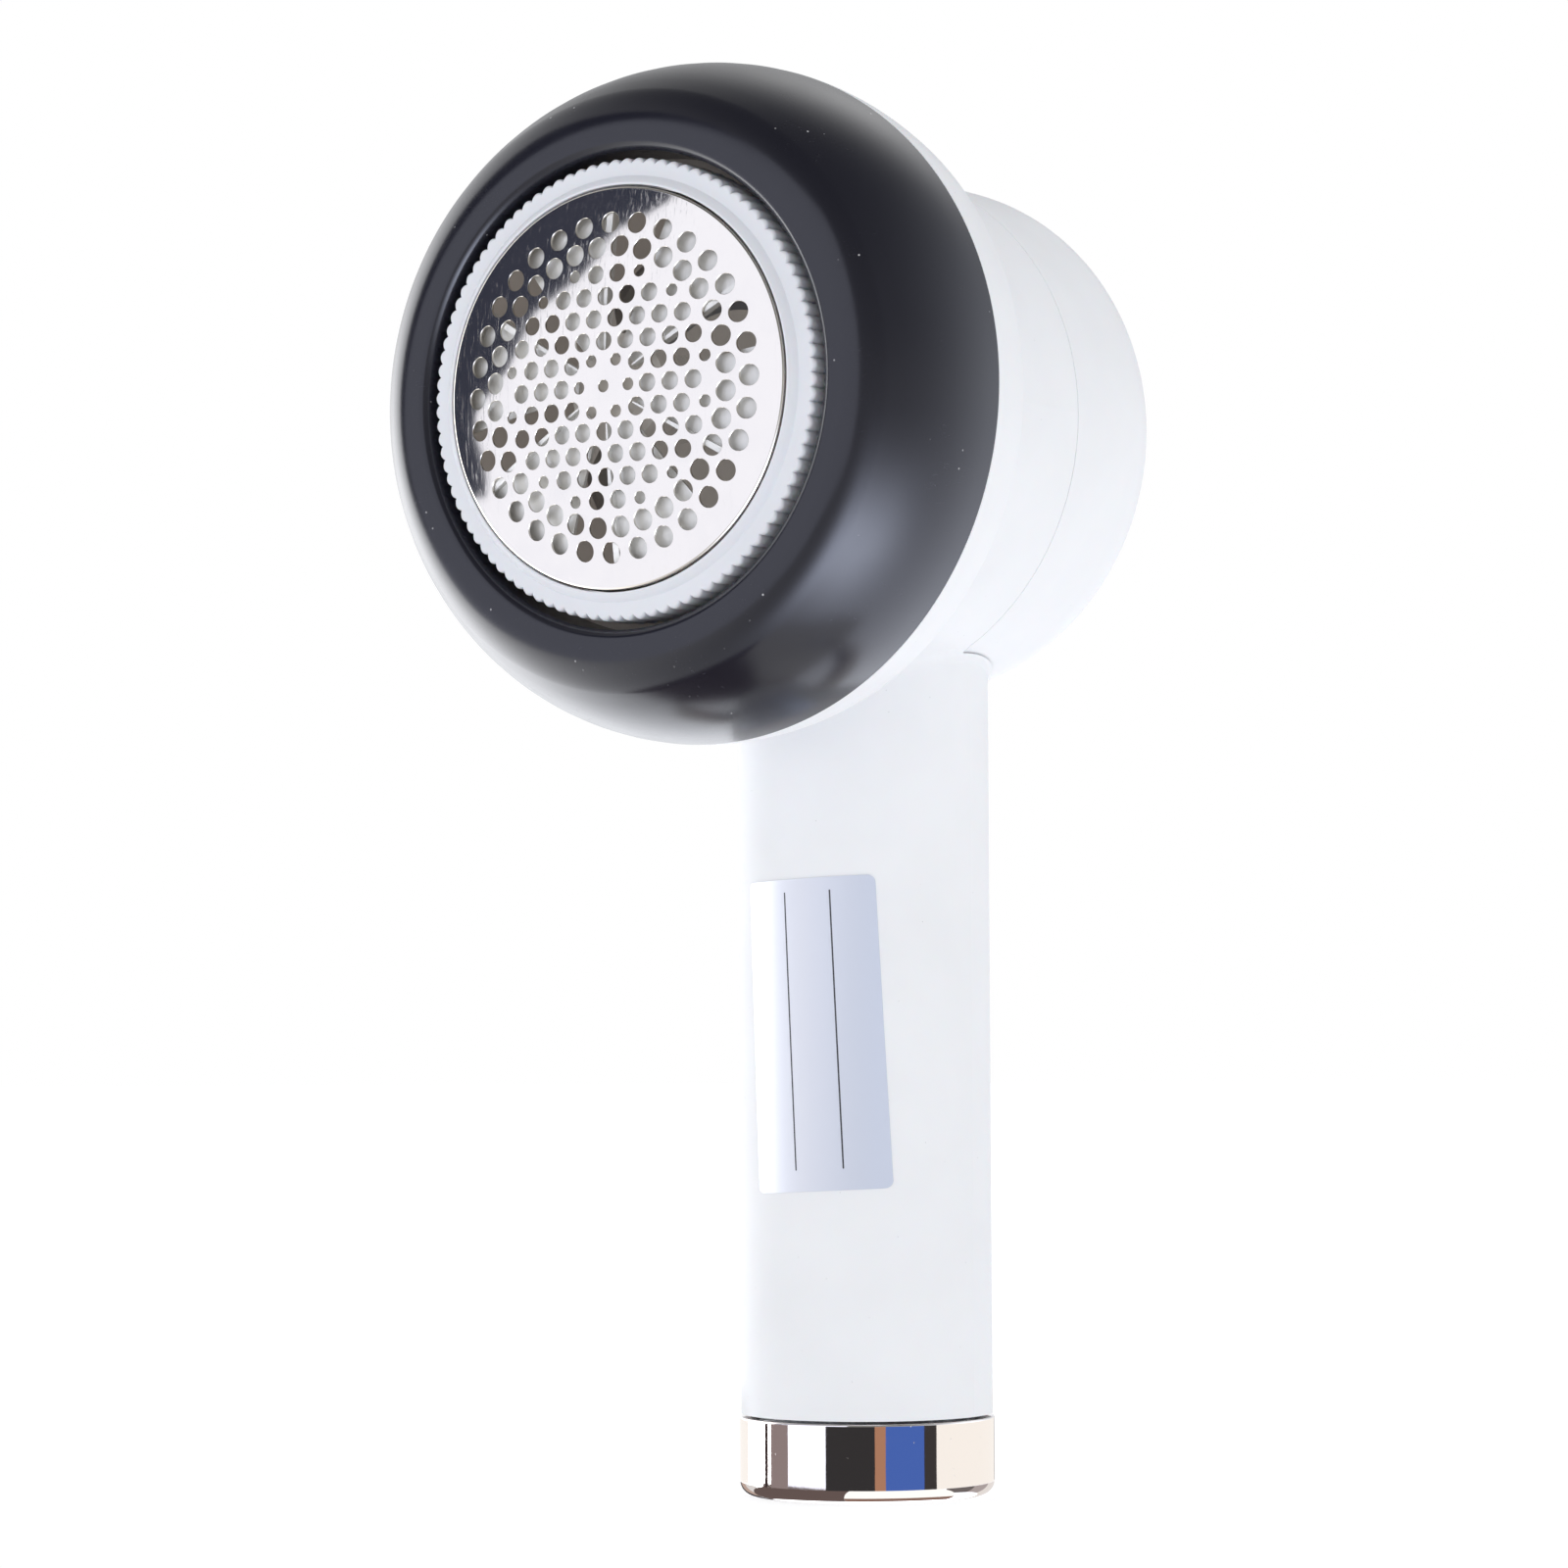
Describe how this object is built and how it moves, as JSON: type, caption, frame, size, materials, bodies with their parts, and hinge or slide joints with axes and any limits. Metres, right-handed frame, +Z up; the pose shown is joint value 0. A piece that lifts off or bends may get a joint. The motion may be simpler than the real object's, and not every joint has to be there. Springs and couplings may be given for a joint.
{
  "type": "fabric shaver",
  "caption": "Cordless fabric shaver: a wide round head with a punched domed foil in a knurled ring, spinning blades, a rear lint bin and a straight round handle.",
  "frame": {"origin": "centre of the flat bottom of the handle's end cap", "axes": "+Z up the handle, the head looks along -Y, +X to the right of someone facing the head"},
  "size_m": [0.094, 0.0902, 0.1996],
  "materials": {
    "white_shell": "gloss white moulding with a faint cool tint",
    "black_ring": "satin black moulding",
    "frosted_ring": "frosted translucent white moulding",
    "polished_foil": "mirror-polished punched steel",
    "blade_steel": "stamped steel",
    "grey_moulding": "mid grey moulding",
    "dark_moulding": "dark moulding",
    "plated_steel": "nickel-plated steel",
    "dark_steel": "laminated iron and ferrite",
    "bearing_bronze": "sintered bronze and copper",
    "contact_metal": "plated contact metal",
    "seal_rubber": "soft rubber",
    "rose_chrome": "polished warm rose-gold plating",
    "cast_plug": "cast metal",
    "circuit_board": "green laminate",
    "clear_lens": "clear lens",
    "cell_wrap": "shrink-wrapped cell",
    "button_white": "gloss white button",
    "silver_label": "satin silver film"
  },
  "bodies": {
    "housing": {"main_body": "white_shell", "collar": "white_shell", "front_ring": "black_ring", "guard_seat": "black_ring", "motor_pod": "grey_moulding", "motor_pod_cap": "grey_moulding", "motor_end_bell": "dark_moulding", "motor_can": "plated_steel", "motor_terminals": "contact_metal", "motor_bushing_front": "bearing_bronze", "motor_bushing_rear": "bearing_bronze", "motor_magnet_1": "dark_steel", "motor_magnet_2": "dark_steel", "button_spring": "plated_steel", "end_cap": "rose_chrome", "button_bezel": "rose_chrome", "cap_weight": "plated_steel", "cap_plug": "cast_plug", "charge_socket": "plated_steel", "socket_board": "circuit_board", "control_board": "circuit_board", "board_parts": "dark_moulding", "tact_switch": "dark_moulding", "status_led": "clear_lens", "status_lens": "clear_lens", "battery_cell": "cell_wrap", "battery_contact_lower": "contact_metal", "battery_contact_upper": "contact_metal", "cradle_lower": "grey_moulding", "cradle_upper": "grey_moulding", "rating_label": "silver_label", "seat_screw_1": "plated_steel", "seat_screw_2": "plated_steel", "seat_screw_3": "plated_steel", "motor_screw_1": "plated_steel", "motor_screw_2": "plated_steel"},
    "spindle": {"motor_shaft": "plated_steel", "motor_armature": "dark_steel", "motor_commutator": "bearing_bronze", "drive_coupler": "grey_moulding", "blade_spring": "plated_steel"},
    "cutter": {"blade_carrier": "grey_moulding", "cutter_blade_1": "blade_steel", "cutter_blade_2": "blade_steel", "cutter_blade_3": "blade_steel", "cutter_blade_4": "blade_steel", "cutter_blade_5": "blade_steel", "cutter_blade_6": "blade_steel"},
    "foil": {"foil_guard": "polished_foil"},
    "nut": {"knurled_ring": "frosted_ring"},
    "bin": {"lint_bin": "white_shell", "bin_seal": "seal_rubber"},
    "button": {"power_button": "button_white"}
  },
  "joints": [
    {"name": "spindle_spin", "type": "hinge", "parent": "housing", "child": "spindle", "pos_m": [0, -0.03, 0.1526], "axis": [0, -1, 0], "continuous": true},
    {"name": "cutter_float", "type": "slide", "parent": "spindle", "child": "cutter", "axis": [0, 1, 0], "range_m": [0, 0.0012], "stiffness_N_per_m": 700, "springref_m": -0.002, "deforming": ["blade_spring"]},
    {"name": "foil_lift", "type": "slide", "parent": "housing", "child": "foil", "axis": [0, -1, 0], "range_m": [0, 0.00375]},
    {"name": "nut_turn", "type": "hinge", "parent": "foil", "child": "nut", "pos_m": [0, -0.0576, 0.1526], "axis": [0, -1, 0], "range_deg": [0, 150]},
    {"name": "bin_slide", "type": "slide", "parent": "housing", "child": "bin", "axis": [0, 1, 0], "range_m": [0, 0.05]},
    {"name": "button_press", "type": "slide", "parent": "housing", "child": "button", "axis": [0, -1, 0], "range_m": [0, 0.0008], "stiffness_N_per_m": 1500, "springref_m": -0.0008, "deforming": ["button_spring"]}
  ],
  "couplings": [
    {"joint": "foil_lift", "follows": "nut_turn", "m_per_rad": 0.0014324}
  ]
}
